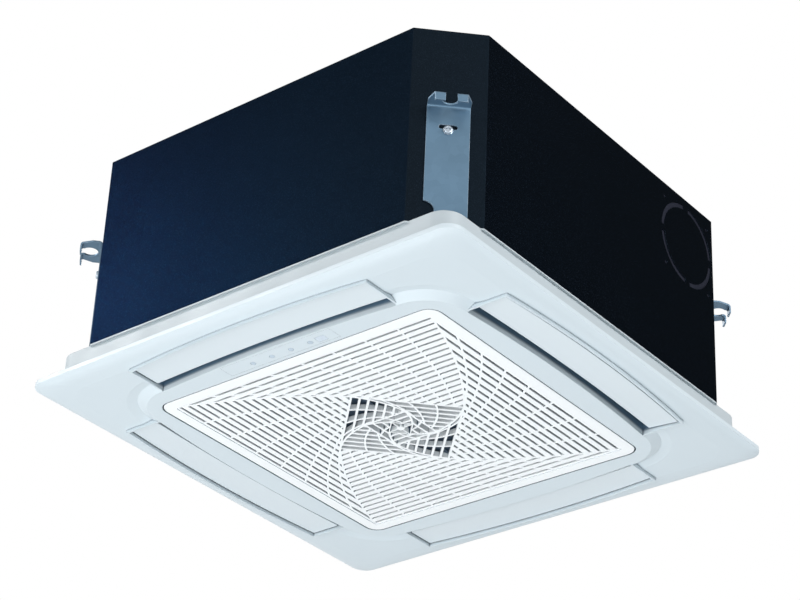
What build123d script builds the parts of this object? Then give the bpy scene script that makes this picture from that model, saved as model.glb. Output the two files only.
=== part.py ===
from build123d import *
from math import cos, radians, sin, sqrt
import os

# Four-way ceiling cassette. Millimetres, +Z up, the origin in the middle of the four hanging holes.
# Front is -Y (the side with the indicator lamps), right is +X (the side with the duct knock-out).

# ---------------------------------------------------------------- driving dimensions
panel_w = 620.0            # side of the square decorative panel
panel_corner_r = 20.0
rim_t = 5.0                # height of the panel's outer rim
slope_w = 30.0             # width of the sloping border inside the rim
border_drop = 5.5          # flat border below the rim's lower edge
plateau_corner_r = 36.0
valley_depth = 2.0         # shallow valley round the island
valley_w = 12.0
cove_w = 12.0              # slanted corner wall of the island
face_drop = 10.5           # island face below the rim's lower edge
skin_t = 2.5
island_half = 235.5        # middle of an island side, from the centre
island_bow = 9.0           # how far the middle of a side stands proud of its ends
island_bow_half = 175.0    # half length over which the bow is measured
island_corner_r = 52.0

hang_height = 188.0        # hanging plane above the ceiling plane
base_h = 36.0              # ceiling plane to the lower edge of the casing
case_w = 584.0
case_h = 255.0
case_cut = 60.0            # leg of the casing's corner cut
sheet_t = 1.2
flange_w = 11.0
liner_t = 4.6
top_liner_t = 8.0

outlet_l = 343.0           # length of each air outlet
outlet_out = 286.6         # middle of its outer edge, from the centre
outlet_out_bow = 8.4
outlet_in = 234.0
outlet_in_bow = 7.6
sleeve_t = 2.5
sleeve_top = 20.0          # top of the outlet sleeves above the ceiling plane

vane_end_gap = 1.2
vane_out_gap = 1.2
vane_in = 242.0
vane_in_bow = 5.0
vane_t = 2.0
vane_lift = 5.2            # vane underside above the island face
pivot_y = 255.0            # vane axis, from the centre
pivot_lift = 20.5          # vane axis above the island face
arm_t = 2.6
arm_r = 4.5                # round end of an arm, about the axis
arm_foot_out = 11.0
arm_foot_in = 9.0
vane_rib_t = 1.6
vane_rib_h = 4.0
vane_rib_y = 4.0           # rib, outside the axis
pin_r = 2.0
shaft_r = 2.5
run_fit = 0.05             # radial clearance of every turning fit
vane_rest = [0.0, 5.0, 0.0, 0.0]   # how far each vane stands open: front, right, back, left
vane_motor_r = 11.0
vane_motor_l = 17.0

door_half = 202.0          # intake grille, half its side
door_gap = 1.8
door_corner_r = 16.0
door_skin = 2.6
door_rib_h = 8.0
door_rib_t = 2.2
door_wall_t = 2.5
field_half = 187.5         # slatted field
slat_pitch = 10.45
slat_t = 1.4               # upright web of a slat or rib
slat_foot_t = 1.6
curve_t = 2.0
slat_depth = 7.0
field_recess = 1.0
whirl_radii = [265.17, 93.0, 42.5, 17.0]   # corner radius of each nested square
whirl_columns = [8, 4, 2, 1]
whirl_bulge = [0.047, 0.075, 0.075, 0.0]
slat_foot_w = [7.0, 2.8, 2.6]   # visible width of the slats, ring by ring
rib_foot_w = [2.6, 2.4, 2.2]
edge_foot_w = 2.6
field_corner_r = 4.0
hub_w = 8.0                # small square where the slats meet
door_axis_y = 190.0
door_axis_lift = 4.0       # hinge axis above the island face
door_pin_r = 2.0
pin_boss_l = 11.5
pin_block_w = 8.0
pin_block_d = 9.0
latch_x = 120.0            # push latches on the front wall of the opening
latch_y = 199.0
latch_l = 20.0
latch_h = 7.9
latch_post_h = 12.5
latch_post_w = 3.0
latch_post_d = 2.4
latch_clear = 1.0

filter_half = 185.0
filter_t = 4.0

display_l = 160.0
display_w = 21.0
display_y = 219.5
display_t = 1.4
lamp_r = 3.4
lamp_pitch = 28.0
lamp_first = -40.6
lamp_y = 217.5
window_l = 13.6
window_w = 10.6
window_x = 59.3
lamp_h = 4.0
board_l = 150.0
board_w = 16.0
board_y = 218.5
board_t = 1.6

base_w = 578.0
base_corner_r = 25.0
base_wall = 3.0
base_plate_t = 2.5
base_open = 402.0
base_lip = 2.0
boss_r = 5.0
boss_h = 16.0
rib_ring_r = 330.0         # middle of the diagonal ribs, from the centre
rib_l = 90.0
rib_t = 2.5
seal_t = 2.5
seal_seat = 0.5            # step in the panel that the seal lies in
seal_clear = 0.3
wall_clear = 0.5

pan_t = 8.0
pan_fit = 0.3
pan_wall_h = 39.0
pan_wall_half = 226.0      # outer wall of the condensate trough
pan_wall_t = 3.0
pan_wall_r = 20.0
pan_ring_r = 172.0         # inner wall of the trough
pan_ring_t = 7.0
seat_l = 40.0
coil_half = 222.0
coil_t = 26.0
coil_corner_r = 60.0
coil_lift = 44.0           # coil above the lower edge of the casing
coil_end = 150.0           # where the coil's two arms end at the pipe corner
plate_t = 1.5
tube_r = 3.5
bend_pitch = 24.0
bend_count = 8

mouth_r = 126.0
mouth_entry_r = 152.0
mouth_flange_r = 186.0
mouth_t = 2.5
mouth_flange_t = 3.0
mouth_curve_h = 50.0
mouth_h = 89.0
pan_open_r = 160.0

fan_r = 168.0
fan_lip_r = 134.0
fan_low = -50.0            # heights of the fan's two rings
fan_high = 56.0
fan_t = 2.5
blade_count = 7
blade_t = 4.0
blade_in_r = 98.0
blade_sweep = 52.0
motor_r = 60.0
motor_h = 48.0
motor_flange_t = 4.0
motor_collar_r = 18.0
motor_collar_h = 6.0
motor_bore_l = 36.0
motor_low = 32.0
motor_shaft_r = 4.0
stud_r = 3.0
stud_ring_r = 72.0
stud_thread_l = 7.0
bush_r = 9.0

bracket_w = 48.0
bracket_t = 2.0
bracket_low = -148.0
bracket_end_w = 35.0
bracket_reach = 27.5       # tab length out from the casing
bracket_taper = 15.0       # length over which the tab narrows
bracket_lip = 10.5
bracket_fold_r = 4.5
bracket_lip_r = 2.5
bracket_slot_l = 21.0
bracket_slot_w = 5.5
bracket_slot_rise = 4.5
key_r = 9.5
key_neck = 13.0
hang_pitch = 546.0         # spacing of the hanging holes
bracket_screw_z = -32.5
hanger_washer_r = 5.6
hanger_washer_t = 0.8
hanger_head_r = 4.9
hanger_head_h = 2.8
cross_l = 5.6
cross_w = 1.3
cross_depth = 1.6
notch_z = -137.0
notch_r = 12.0

duct_y = 173.0             # round knock-out for a branch duct
duct_z = 37.5
duct_r = 55.5
duct_slot = 6.5
duct_bridge = 9.0
duct_hole_ring = 66.5
duct_hole_r = 2.6

pipe_y = 170.0
gas_z = -30.0
liquid_z = -80.0
gas_r = 6.35
liquid_r = 3.175
gas_union_r = 9.52
liquid_union_r = 5.56
union_l = 15.0
nut_l = 8.0
pipe_wall = 1.0
pipe_reach = 26.0
pipe_plate_l = 116.0
pipe_plate_w = 56.0

pump_x = 182.0             # condensate pump, in the corner left open by the coil
pump_y = 192.0
pump_r = 22.0
pump_low = -100.0
pump_inlet_r = 8.0
drain_z = -20.0
drain_r = 16.0
drain_neck_r = 14.5
drain_bore_r = 13.0
drain_reach = 32.0
drain_inner_l = 20.0       # part of the drain socket inside the casing
hose_r = 8.0
float_x = 210.0            # float switch, on the diagonal of the same corner
float_r = 10.0
float_h = 12.0
float_stem_r = 3.0
float_travel = 10.0
float_low = -138.7

box_l = 208.0
box_w = 46.0
box_h = 28.0
box_wall = 1.2
lug_y = 136.0
lug_l = 24.0
lug_reach = 13.0
lug_t = 3.0
lug_hole_r = 2.8

cable_y = -150.0
cable_z = -124.0
cable_hole_r = 11.0
cable_bore_r = 8.0
hub_low = 9.0
hub_bore_r = 15.0
motor_flange_r = 80.0
mouth_screw_ring = 178.0
lid_ring_r = 103.0
lid_rib_w = 9.0
lid_rib_h = 1.6
lid_rib_l = 120.0
lid_rib_ring_r = 185.0
filter_mesh_t = 0.6
trim_fit = 0.15
small_screw_r = 2.0
small_head_r = 3.6
small_head_h = 2.4
big_screw_r = 4.0

# ---------------------------------------------------------------- derived levels and places
z_ceiling = -hang_height
z_rim = z_ceiling - rim_t
z_border = z_rim - border_drop
z_face = z_rim - face_drop
z_valley = z_border + valley_depth
z_pocket = z_valley + skin_t
z_base_top = z_ceiling + base_h
z_case_top = z_base_top + case_h
z_lid = z_case_top - sheet_t
z_top_liner = z_lid - top_liner_t
z_sleeve = z_ceiling + sleeve_top
z_pivot = z_face + pivot_lift
z_door_axis = z_face + door_axis_lift
z_filter = z_face + door_rib_h
z_coil = z_base_top + coil_lift
z_pan = z_base_top + pan_t
chamfer_d = (case_w - case_cut) / sqrt(2)
hole_d = hang_pitch / sqrt(2)
wall_y = case_w / 2 - sheet_t - liner_t - 0.3
edge = case_w / 2 - 8.0
lid_screws = [(x * edge, y * 200.0) for x in (-1, 1) for y in (-1, 1)]
lid_screws += [(y * 200.0, x * edge) for x in (-1, 1) for y in (-1, 1)]
open_half = door_half + door_gap
sleeve_half = base_w / 2 - base_wall - wall_clear
screw_x = open_half - lug_reach / 2 + 1

os.makedirs("parts", exist_ok=True)


def save(solid, label):
    """Label one finished piece and write it under the same name."""
    solid.label = label
    export_step(solid, f"parts/{label}.step")


def octagon(inset):
    """Casing outline, every side moved in by inset."""
    with BuildSketch() as outline:
        Rectangle(case_w - 2 * inset, case_w - 2 * inset)
        chamfer(outline.vertices(), case_cut - inset * (2 - sqrt(2)))
    return outline.sketch


def bowed_square(grow):
    """Island outline: four gently bowed sides with round corners, grown by a margin."""
    half = island_half + grow
    bow_r = (island_bow_half**2 + island_bow**2) / (2 * island_bow) + grow
    # where the arcs of two neighbouring sides meet, on the diagonal
    inset = half - bow_r
    corner = (inset + sqrt(2 * bow_r**2 - inset**2)) / 2
    with BuildSketch() as outline:
        with BuildLine():
            for turn in range(4):
                ends = [Vector(-corner, -corner), Vector(0, -half), Vector(corner, -corner)]
                ThreePointArc(*[p.rotate(Axis.Z, 90 * turn) for p in ends])
        make_face()
        fillet(outline.vertices(), island_corner_r + grow)
    return outline.sketch


def outlet_outline(margin, length=outlet_l):
    """Front air outlet seen in plan: two bowed long edges and two straight ends."""
    half = length / 2 + margin
    out_mid = outlet_out + margin
    in_mid = outlet_in - margin
    with BuildSketch() as outline:
        with BuildLine():
            ThreePointArc((-half, -out_mid + outlet_out_bow), (0, -out_mid),
                          (half, -out_mid + outlet_out_bow))
            Line((half, -out_mid + outlet_out_bow), (half, -in_mid + outlet_in_bow))
            ThreePointArc((half, -in_mid + outlet_in_bow), (0, -in_mid), (-half, -in_mid + outlet_in_bow))
            Line((-half, -in_mid + outlet_in_bow), (-half, -out_mid + outlet_out_bow))
        make_face()
    return outline.sketch


def on_four_sides(sketch):
    """The same outline on all four sides."""
    return [sketch.rotate(Axis.Z, 90 * turn) for turn in range(4)]


def turned(solid, start=0):
    """Four copies of a solid, a quarter turn apart about the vertical axis."""
    return [solid.rotate(Axis.Z, start + 90 * turn) for turn in range(4)]


def around(solid, start=0):
    """The same four copies as one group."""
    return Compound(children=turned(solid, start))


def whirl_point(level, corner):
    """Corner of one of the nested squares; each square is turned by 45 degrees from the last."""
    angle = radians(-135 + 45 * level + 90 * corner)
    return Vector(cos(angle), sin(angle)) * whirl_radii[level]


def whirl_arc(start, end, share):
    """Curve that leans outwards from its chord by a share of its length."""
    chord = end - start
    lean = Vector(chord.Y, -chord.X) * share
    if share == 0:
        return Line(start, end)
    return ThreePointArc(start, (start + end) * 0.5 + lean, end)


def whirl_sector(level, slat_w, rib_w, edge_w):
    """One of the four sectors between two nested squares: slats, cross ribs and edges."""
    outer_a, outer_b = whirl_point(level, 0), whirl_point(level, 1)
    inner_a, inner_b = whirl_point(level + 1, 0), whirl_point(level + 1, 1)
    side = outer_b - outer_a
    along = side.normalized()
    inward = Vector(-along.Y, along.X)
    share = whirl_bulge[level]
    depth = max((inner_a - outer_a).dot(inward), (inner_b - outer_a).dot(inward))
    columns = whirl_columns[level]
    with BuildSketch() as sector:
        with BuildLine():
            for row in range(int(depth / slat_pitch) + 1):
                first = outer_a + inward * (row * slat_pitch)
                Line(first, first + side)
        trace(line_width=slat_w)
        with BuildLine():
            for column in range(1, columns):
                u = column / columns
                v = u * (1.4 - 0.4 * u)
                whirl_arc(outer_a + side * u, inner_a + (inner_b - inner_a) * v, share)
        trace(line_width=rib_w)
        with BuildLine():
            whirl_arc(outer_a, inner_a, share)
            whirl_arc(outer_b, inner_b, share)
            Line(inner_a, inner_b)
        trace(line_width=edge_w)
        with BuildLine():
            Line(outer_a, outer_b)
            whirl_arc(outer_b, inner_b, share)
            Line(inner_b, inner_a)
            whirl_arc(inner_a, outer_a, -share)
        make_face(mode=Mode.INTERSECT)
    return sector.sketch


# ---------------------------------------------------------------- decorative panel
with BuildPart() as panel:
    # border: a thin rim, then a gentle convex slope down to the flat part round the outlets
    with BuildSketch(Plane.XY.offset(z_ceiling)):
        RectangleRounded(panel_w, panel_w, panel_corner_r)
    extrude(amount=-rim_t)
    for inset, drop in [(0, 0), (0.15, 0.42), (0.5, 0.84), (1, 1)]:
        side = panel_w - 2 * slope_w * inset
        corner_r = panel_corner_r + (plateau_corner_r - panel_corner_r) * inset
        with BuildSketch(Plane.XY.offset(z_rim - border_drop * drop)):
            RectangleRounded(side, side, corner_r)
    loft()
    # valley round the island, drawn from a little below the border
    for share in (-0.25, 1):
        with BuildSketch(Plane.XY.offset(z_border + valley_depth * share)):
            add(bowed_square(cove_w + valley_w * (1 - share)))
    loft(mode=Mode.SUBTRACT)
    # island with slanted walls, drawn from a little above the valley floor
    for share in (-0.15, 1):
        with BuildSketch(Plane.XY.offset(z_valley + (z_face - z_valley) * share)):
            add(bowed_square(cove_w * (1 - share)))
    loft()
    # hollow back
    with BuildSketch(Plane.XY.offset(z_ceiling)):
        Rectangle(2 * sleeve_half, 2 * sleeve_half)
        Rectangle(2 * (open_half + door_wall_t), 2 * (open_half + door_wall_t), mode=Mode.SUBTRACT)
    extrude(amount=z_pocket - z_ceiling, mode=Mode.SUBTRACT)
    with BuildSketch(Plane.XY.offset(z_pocket)):
        add(bowed_square(-skin_t))
        Rectangle(2 * (open_half + door_wall_t), 2 * (open_half + door_wall_t), mode=Mode.SUBTRACT)
    extrude(amount=z_face + skin_t - z_pocket, mode=Mode.SUBTRACT)
    # outlet sleeves that carry the vanes
    with BuildSketch(Plane.XY.offset(z_face + skin_t / 2)):
        add(on_four_sides(outlet_outline(sleeve_t)))
    extrude(amount=z_ceiling - z_face - skin_t / 2)
    with BuildSketch(Plane.XY.offset(z_ceiling)):
        add(on_four_sides(outlet_outline(sleeve_t)))
        Rectangle(2 * sleeve_half, 2 * sleeve_half, mode=Mode.INTERSECT)
    extrude(amount=sleeve_top)
    with BuildSketch(Plane.XY.offset(z_face)):
        add(on_four_sides(outlet_outline(0)))
    extrude(amount=z_sleeve - z_face, mode=Mode.SUBTRACT)
    # shallow step for the seal
    with BuildSketch(Plane.XY.offset(z_ceiling)):
        RectangleRounded(base_w + 2 * seal_clear, base_w + 2 * seal_clear, base_corner_r + seal_clear)
        Rectangle(2 * sleeve_half, 2 * sleeve_half, mode=Mode.SUBTRACT)
    extrude(amount=-seal_seat, mode=Mode.SUBTRACT)
    # square opening for the intake grille
    with BuildSketch(Plane.XY.offset(z_face)):
        RectangleRounded(2 * open_half, 2 * open_half, door_corner_r + door_gap)
    extrude(amount=z_ceiling - z_face, mode=Mode.SUBTRACT)
    # screw lugs on two sides of the opening
    with BuildSketch(Plane.XY.offset(z_ceiling - lug_t)):
        with GridLocations(2 * (open_half + door_wall_t) - lug_reach, 2 * lug_y, 2, 2):
            Rectangle(lug_reach, lug_l)
    extrude(amount=lug_t)
    with BuildSketch(Plane.XY.offset(z_ceiling)):
        with GridLocations(2 * screw_x, 2 * lug_y, 2, 2):
            Circle(lug_hole_r)
    extrude(amount=-lug_t, mode=Mode.SUBTRACT)
    # hinge bores of the grille in the two side walls of the opening
    with BuildSketch(Plane.YZ.offset(-open_half - door_wall_t - 1)):
        with Locations((door_axis_y, z_door_axis)):
            Circle(door_pin_r + run_fit)
    extrude(amount=2 * (open_half + door_wall_t + 1), mode=Mode.SUBTRACT)
    # recess for the indicator plate, with holes for the lamps and the receiver
    with BuildSketch(Plane.XY.offset(z_face)):
        with Locations((0, -display_y)):
            Rectangle(display_l, display_w)
    extrude(amount=display_t, mode=Mode.SUBTRACT)
    with BuildSketch(Plane.XY.offset(z_face)):
        with Locations(*[(lamp_first + lamp_pitch * i, -lamp_y) for i in range(4)]):
            Circle(lamp_r)
        with Locations((window_x, -lamp_y)):
            Rectangle(window_l, window_w)
    extrude(amount=2 * skin_t, mode=Mode.SUBTRACT)
    # posts for the lamp board
    with BuildSketch(Plane.XY.offset(z_face + display_t)):
        with Locations((0, -board_y)):
            with GridLocations(board_l - 12, board_w - 5, 2, 2):
                Circle(1.8)
    extrude(amount=lamp_h - display_t)

half_l = outlet_l / 2
idle_hole_r = pin_r + run_fit + 1.5
drive_hole_r = shaft_r + 1.0
with BuildPart() as pivot_holes:
    with BuildSketch(Plane.YZ.offset(-half_l - sleeve_t - 1)):
        with Locations((-pivot_y, z_pivot)):
            Circle(idle_hole_r)
    extrude(amount=sleeve_t + 2)
    with BuildSketch(Plane.YZ.offset(half_l - 1)):
        with Locations((-pivot_y, z_pivot)):
            Circle(drive_hole_r)
    extrude(amount=sleeve_t + 2)
panel_body = panel.part - turned(pivot_holes.part)
save(panel_body, "panel_frame")

# ---------------------------------------------------------------- vanes, their pins, shafts, motors
blade_half = half_l - vane_end_gap
vane_out = outlet_out - vane_out_gap
z_vane = z_face + vane_lift
with BuildPart() as vane:
    with BuildSketch(Plane.XY.offset(z_vane)):
        with BuildLine():
            ThreePointArc((-blade_half, -vane_out + outlet_out_bow), (0, -vane_out),
                          (blade_half, -vane_out + outlet_out_bow))
            Line((blade_half, -vane_out + outlet_out_bow), (blade_half, -vane_in + vane_in_bow))
            ThreePointArc((blade_half, -vane_in + vane_in_bow), (0, -vane_in),
                          (-blade_half, -vane_in + vane_in_bow))
            Line((-blade_half, -vane_in + vane_in_bow), (-blade_half, -vane_out + outlet_out_bow))
        make_face()
    extrude(amount=vane_t)
    fillet(vane.edges().filter_by(Axis.Z), 2.0)
    fillet(vane.faces().sort_by(Axis.Z)[0].edges(), 0.6)
    # an arm at each end rises from the blade to the axis
    for x in (-blade_half, blade_half - arm_t):
        with BuildSketch(Plane.YZ.offset(x)):
            with BuildLine():
                Polyline((-pivot_y - arm_foot_out, z_vane + vane_t / 2), (-pivot_y - arm_r, z_pivot),
                         (-pivot_y + arm_r, z_pivot), (-pivot_y + arm_foot_in, z_vane + vane_t / 2),
                         close=True)
            make_face()
            with Locations((-pivot_y, z_pivot)):
                Circle(arm_r)
        extrude(amount=arm_t)
    # stiffening rib along the back
    with BuildSketch(Plane.YZ.offset(-blade_half + arm_t)):
        with Locations((-pivot_y - vane_rib_y, z_vane + vane_t - 0.5)):
            Rectangle(vane_rib_t, vane_rib_h, align=(Align.CENTER, Align.MIN))
    extrude(amount=2 * (blade_half - arm_t))
    # idle pin, and the bore for the motor's shaft
    with BuildSketch(Plane.YZ.offset(-blade_half)):
        with Locations((-pivot_y, z_pivot)):
            Circle(pin_r)
    extrude(amount=-(vane_end_gap + sleeve_t + 2))
    with BuildSketch(Plane.YZ.offset(blade_half)):
        with Locations((-pivot_y, z_pivot)):
            Circle(shaft_r + run_fit)
    extrude(amount=-arm_t, mode=Mode.SUBTRACT)

motor_x = half_l + sleeve_t
with BuildPart() as vane_shaft:
    with BuildSketch(Plane.YZ.offset(blade_half - arm_t)):
        with Locations((-pivot_y, z_pivot)):
            Circle(shaft_r)
    extrude(amount=motor_x + vane_motor_l - 3 - blade_half + arm_t)

vane_names = ["front", "right", "back", "left"]
pivot_axis = Axis((0, -pivot_y, z_pivot), (1, 0, 0))
for turn, name in enumerate(vane_names):
    for piece, label in [(vane.part, f"vane_{name}"), (vane_shaft.part, f"vane_{name}_shaft")]:
        opened = piece.rotate(pivot_axis, vane_rest[turn])
        save(opened.rotate(Axis.Z, 90 * turn), label)

with BuildPart() as vane_bush:
    with BuildSketch(Plane.YZ.offset(-half_l - sleeve_t)):
        with Locations((-pivot_y, z_pivot)):
            Circle(idle_hole_r)
            Circle(pin_r + run_fit, mode=Mode.SUBTRACT)
    extrude(amount=sleeve_t)
    with BuildSketch(Plane.YZ.offset(-half_l - sleeve_t)):
        with Locations((-pivot_y, z_pivot)):
            Circle(idle_hole_r + 1.5)
            Circle(pin_r + run_fit, mode=Mode.SUBTRACT)
    extrude(amount=-1.2)
save(around(vane_bush.part), "vane_bushes")

with BuildPart() as vane_motor:
    with BuildSketch(Plane.YZ.offset(motor_x)):
        with Locations((-pivot_y, z_pivot)):
            Circle(vane_motor_r)
    extrude(amount=vane_motor_l)
    fillet(vane_motor.faces().sort_by(Axis.X)[-1].edges(), 1.0)
    with BuildSketch(Plane.YZ.offset(motor_x)):
        with Locations((-pivot_y, z_pivot)):
            Rectangle(2 * vane_motor_r + 12, 8)
    extrude(amount=1.2)
    with BuildSketch(Plane.YZ.offset(motor_x)):
        with Locations((-pivot_y, z_pivot)):
            Circle(shaft_r + run_fit)
    extrude(amount=vane_motor_l - 2, mode=Mode.SUBTRACT)
save(around(vane_motor.part), "vane_motors")

# ---------------------------------------------------------------- intake grille with its whirl of slats
rings = range(len(whirl_radii) - 1)
slat_feet = [whirl_sector(ring, slat_foot_w[ring], rib_foot_w[ring], edge_foot_w) for ring in rings]
slat_webs = [whirl_sector(ring, slat_t, slat_t, curve_t) for ring in rings]
z_field = z_face + field_recess
with BuildPart() as grille:
    with BuildSketch(Plane.XY.offset(z_face)):
        RectangleRounded(2 * door_half, 2 * door_half, door_corner_r)
        RectangleRounded(2 * field_half, 2 * field_half, field_corner_r, mode=Mode.SUBTRACT)
    extrude(amount=door_skin)
    with BuildSketch(Plane.XY.offset(z_face)):
        RectangleRounded(2 * door_half, 2 * door_half, door_corner_r)
        RectangleRounded(2 * (door_half - door_rib_t), 2 * (door_half - door_rib_t),
                         door_corner_r - door_rib_t, mode=Mode.SUBTRACT)
        RectangleRounded(2 * (field_half + door_rib_t), 2 * (field_half + door_rib_t),
                         field_corner_r + door_rib_t)
        RectangleRounded(2 * field_half, 2 * field_half, field_corner_r, mode=Mode.SUBTRACT)
    extrude(amount=door_rib_h)
    fillet(grille.faces().sort_by(Axis.Z)[0].outer_wire().edges(), 0.8)
    # pin bosses near the two back corners
    with BuildSketch(Plane.XY.offset(z_face + door_skin / 2)):
        with GridLocations(2 * (door_half - door_rib_t) - pin_block_w, 0, 2, 1):
            with Locations((0, door_axis_y)):
                Rectangle(pin_block_w, pin_block_d)
    extrude(amount=door_rib_h - door_skin / 2)
    for start, depth in [(-door_half - 1, pin_boss_l), (door_half + 1, -pin_boss_l)]:
        with BuildSketch(Plane.YZ.offset(start)):
            with Locations((door_axis_y, z_door_axis)):
                Circle(door_pin_r)
        extrude(amount=depth, mode=Mode.SUBTRACT)
    # posts that hold the closed grille in its latches
    with BuildSketch(Plane.XY.offset(z_face + door_skin / 2)):
        with Locations((-latch_x, -latch_y), (latch_x, -latch_y)):
            Rectangle(latch_post_w, latch_post_d)
    extrude(amount=latch_post_h)
    # nested squares of slats: a flat foot seen from below, and an upright web on it
    for start, height, sectors in [(z_field, slat_foot_t, slat_feet),
                                   (z_field + slat_foot_t, slat_depth - slat_foot_t, slat_webs)]:
        with BuildSketch(Plane.XY.offset(start)):
            for sector in sectors:
                add(on_four_sides(sector))
            Rectangle(2 * whirl_radii[-1], slat_t)
            Rectangle(slat_t, 2 * whirl_radii[-1])
            Rectangle(hub_w, hub_w)
        extrude(amount=height)
save(grille.part, "intake_grille")

with BuildPart() as grille_pin:
    with BuildSketch(Plane.YZ.offset(open_half + door_wall_t - 0.3)):
        with Locations((door_axis_y, z_door_axis)):
            Circle(door_pin_r)
    extrude(amount=-(door_gap + door_wall_t + pin_boss_l - 2))
save(Compound(children=[grille_pin.part, grille_pin.part.mirror(Plane.YZ)]), "grille_pins")

z_latch = z_face + door_rib_h + latch_clear
latch_d = 2 * (open_half - latch_y) - latch_post_d + latch_clear
with BuildPart() as latch:
    with BuildSketch(Plane.XY.offset(z_latch)):
        with Locations((-latch_x, -open_half), (latch_x, -open_half)):
            Rectangle(latch_l, latch_d, align=(Align.CENTER, Align.MIN))
    extrude(amount=latch_h)
    with BuildSketch(Plane.XY.offset(z_latch)):
        with Locations((-latch_x, -latch_y), (latch_x, -latch_y)):
            Rectangle(latch_post_w + 2 * latch_clear, latch_post_d + 2 * latch_clear)
    extrude(amount=latch_h - 1.0, mode=Mode.SUBTRACT)
save(latch.part, "grille_latches")

with BuildPart() as filter_frame:
    with BuildSketch(Plane.XY.offset(z_filter)):
        Rectangle(2 * filter_half, 2 * filter_half)
        with GridLocations(filter_half / 2, filter_half / 2, 4, 4):
            Rectangle(filter_half / 2 - 4, filter_half / 2 - 4, mode=Mode.SUBTRACT)
    extrude(amount=filter_t)
    with BuildSketch(Plane.XY.offset(z_filter + filter_t / 2)):
        Rectangle(2 * filter_half - 4, 2 * filter_half - 4)
    extrude(amount=filter_mesh_t, mode=Mode.SUBTRACT)
save(filter_frame.part, "air_filter_frame")

with BuildPart() as mesh:
    with BuildSketch(Plane.XY.offset(z_filter + filter_t / 2)):
        Rectangle(2 * filter_half - 4, 2 * filter_half - 4)
    extrude(amount=filter_mesh_t)
save(mesh.part, "air_filter_mesh")

# ---------------------------------------------------------------- indicator panel
with BuildPart() as display:
    with BuildSketch(Plane.XY.offset(z_face)):
        with Locations((0, -display_y)):
            Rectangle(display_l - 2 * trim_fit, display_w - 2 * trim_fit)
        with Locations(*[(lamp_first + lamp_pitch * i, -lamp_y) for i in range(4)]):
            Circle(lamp_r, mode=Mode.SUBTRACT)
        with Locations((window_x, -lamp_y)):
            Rectangle(window_l, window_w, mode=Mode.SUBTRACT)
    extrude(amount=display_t)
save(display.part, "display_plate")

with BuildPart() as lamps:
    with BuildSketch(Plane.XY.offset(z_face)):
        with Locations(*[(lamp_first + lamp_pitch * i, -lamp_y) for i in range(4)]):
            Circle(lamp_r - trim_fit)
    extrude(amount=lamp_h)
save(lamps.part, "indicator_lenses")

with BuildPart() as window:
    with BuildSketch(Plane.XY.offset(z_face)):
        with Locations((window_x, -lamp_y)):
            Rectangle(window_l - 2 * trim_fit, window_w - 2 * trim_fit)
    extrude(amount=lamp_h)
save(window.part, "receiver_window")

with BuildPart() as board:
    with BuildSketch(Plane.XY.offset(z_face + lamp_h)):
        with Locations((0, -board_y)):
            Rectangle(board_l, board_w)
    extrude(amount=board_t)
save(board.part, "display_board")

# ---------------------------------------------------------------- seal and base frame
z_base = z_ceiling + seal_t - seal_seat
base_in = base_w - 2 * base_wall
with BuildPart() as seal:
    with BuildSketch(Plane.XY.offset(z_ceiling - seal_seat)):
        RectangleRounded(base_w, base_w, base_corner_r)
        RectangleRounded(base_in, base_in, base_corner_r - base_wall, mode=Mode.SUBTRACT)
    extrude(amount=seal_t)
save(seal.part, "panel_seal")

with BuildPart() as base:
    with BuildSketch(Plane.XY.offset(z_base)):
        RectangleRounded(base_w, base_w, base_corner_r)
    extrude(amount=z_base_top - z_base)
    with BuildSketch(Plane.XY.offset(z_base_top)):
        add(octagon(0))
    extrude(amount=-base_lip)
    # hollow from below, with a wall left round the intake
    with BuildSketch(Plane.XY.offset(z_base)):
        RectangleRounded(base_in, base_in, base_corner_r - base_wall)
        Rectangle(base_open + 2 * base_wall, base_open + 2 * base_wall, mode=Mode.SUBTRACT)
    extrude(amount=z_base_top - z_base - base_plate_t, mode=Mode.SUBTRACT)
    # collars that meet the panel's sleeves
    with BuildSketch(Plane.XY.offset(z_sleeve + wall_clear)):
        add(on_four_sides(outlet_outline(base_wall)))
        Rectangle(base_w, base_w, mode=Mode.INTERSECT)
    extrude(amount=z_base_top - z_sleeve - wall_clear)
    # diagonal ribs in the corners
    with BuildSketch(Plane.XY.offset(z_sleeve)):
        with PolarLocations(rib_ring_r, 4, start_angle=45):
            Rectangle(rib_l, rib_t)
    extrude(amount=z_base_top - z_sleeve)
    with BuildSketch(Plane.XY.offset(z_base)):
        add(on_four_sides(outlet_outline(0)))
        Rectangle(base_in, base_in, mode=Mode.INTERSECT)
        Rectangle(base_open, base_open)
    extrude(amount=base_h, mode=Mode.SUBTRACT)
    # bosses for the screws that pull the panel up
    with BuildSketch(Plane.XY.offset(z_ceiling)):
        with GridLocations(2 * screw_x, 2 * lug_y, 2, 2):
            Circle(boss_r)
    extrude(amount=boss_h)
    with BuildSketch(Plane.XY.offset(z_ceiling)):
        with GridLocations(2 * screw_x, 2 * lug_y, 2, 2):
            Circle(small_screw_r)
    extrude(amount=boss_h - 2, mode=Mode.SUBTRACT)
save(base.part, "base_frame")

with BuildPart() as panel_screw:
    with BuildSketch(Plane.XY.offset(z_ceiling - lug_t)):
        with GridLocations(2 * screw_x, 2 * lug_y, 2, 2):
            Circle(small_head_r + 1)
    extrude(amount=-small_head_h)
    with BuildSketch(Plane.XY.offset(z_ceiling - lug_t)):
        with GridLocations(2 * screw_x, 2 * lug_y, 2, 2):
            Circle(small_screw_r)
    extrude(amount=lug_t + boss_h - 3)
save(panel_screw.part, "panel_screws")

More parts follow.
